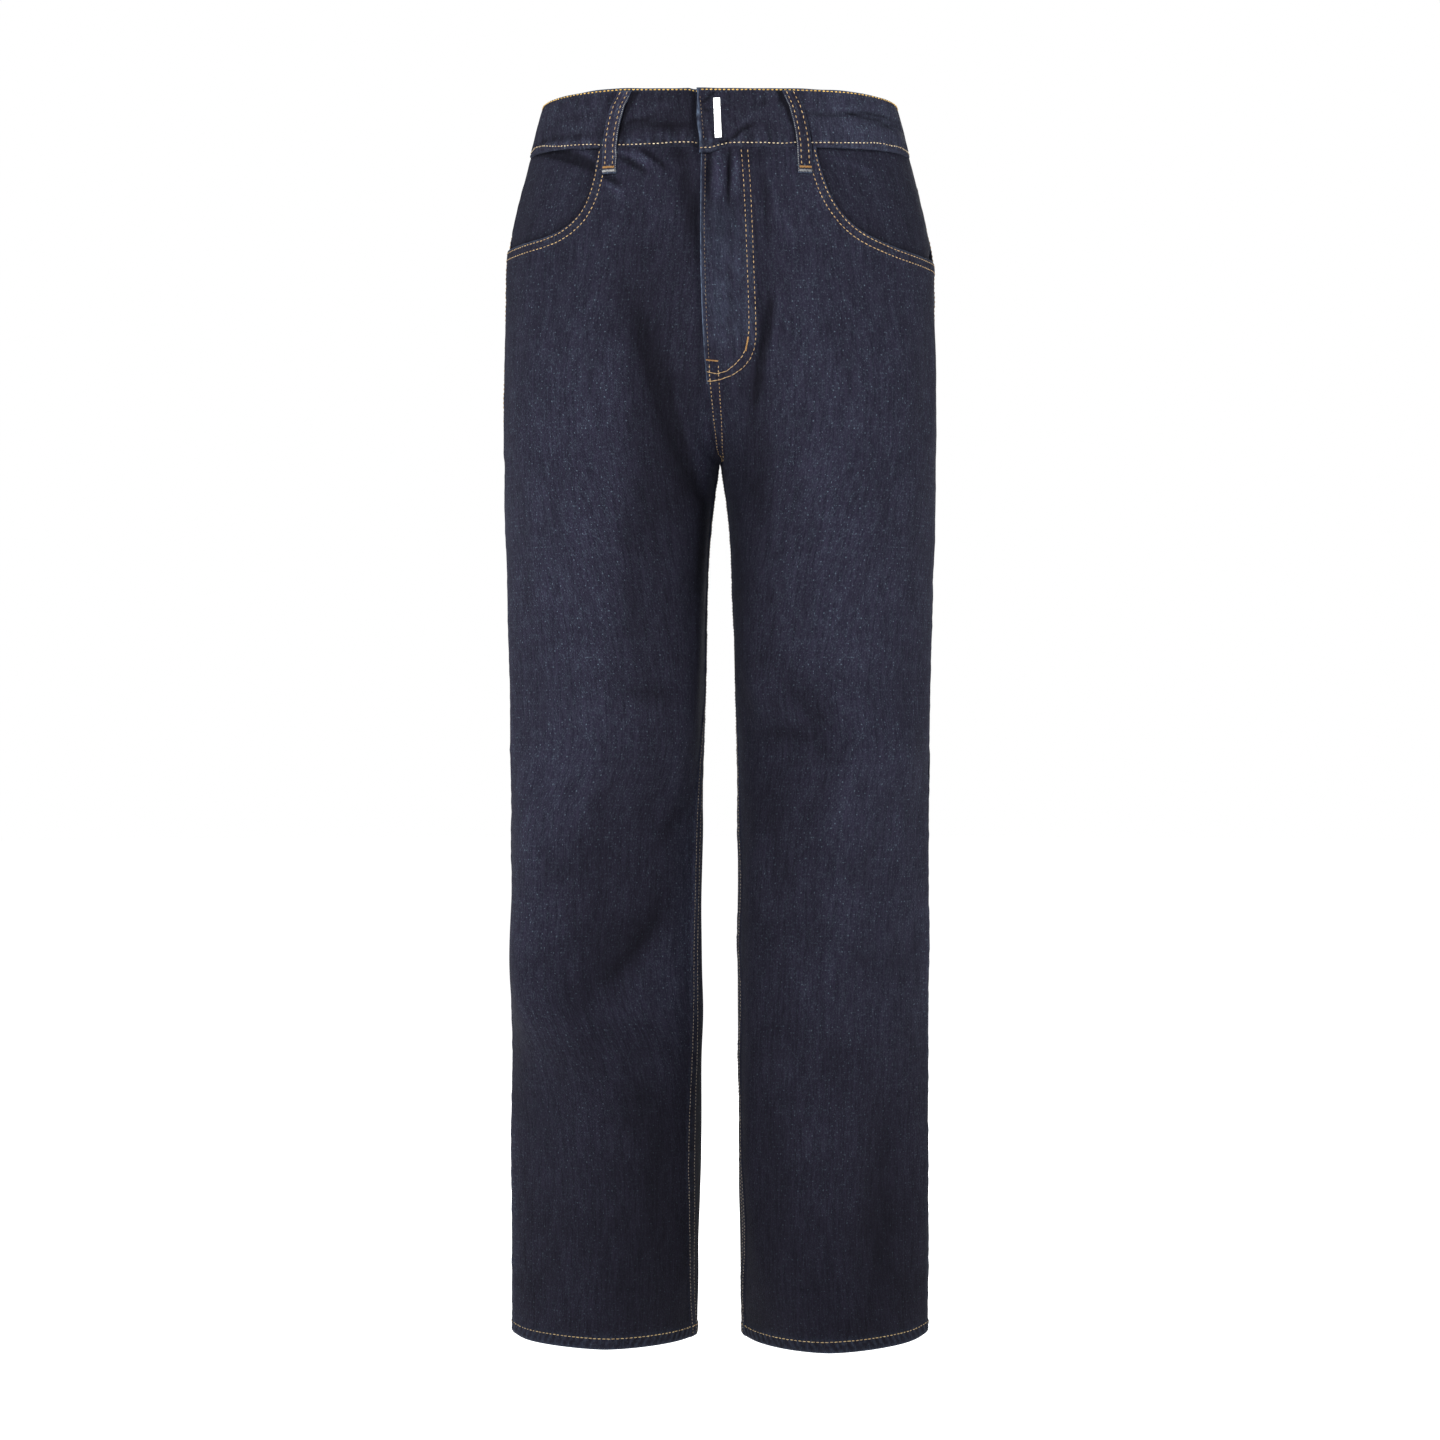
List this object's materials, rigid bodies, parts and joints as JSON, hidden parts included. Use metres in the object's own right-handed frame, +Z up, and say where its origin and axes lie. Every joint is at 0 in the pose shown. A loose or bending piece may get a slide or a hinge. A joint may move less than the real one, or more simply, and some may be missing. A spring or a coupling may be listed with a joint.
{
  "type": "straight leg jeans",
  "caption": "Straight leg denim jeans, filled out and hollow as worn, with a lapped fly, scooped front pockets, patch back pockets, belt loops and a narrow bare metal plate on the waistband.",
  "frame": {"origin": "middle of the waist opening, at half the height of the waistband's front, where the wearer's waist holds the garment", "axes": "+Z up, the front faces -Y, +X towards the wearer's left"},
  "size_m": [0.3706, 0.2471, 1.0635],
  "materials": {
    "denim": "dark indigo twill, matte, with paler worn edges",
    "thread": "tan and golden topstitching thread",
    "plate": "bright satin metal, bare"
  },
  "bodies": {
    "root": {"front_left": "denim", "front_right": "denim", "back_left": "denim", "back_right": "denim", "yoke_left": "denim", "yoke_right": "denim", "pocket_facing_left": "denim", "pocket_facing_right": "denim", "waistband_left": "denim", "waistband_right": "denim", "back_pocket_left": "denim", "back_pocket_right": "denim", "belt_loop_front_left": "denim", "belt_loop_front_right": "denim", "belt_loop_side_left": "denim", "belt_loop_side_right": "denim", "belt_loop_back": "denim", "waistband_plate": "plate"}
  },
  "joints": []
}
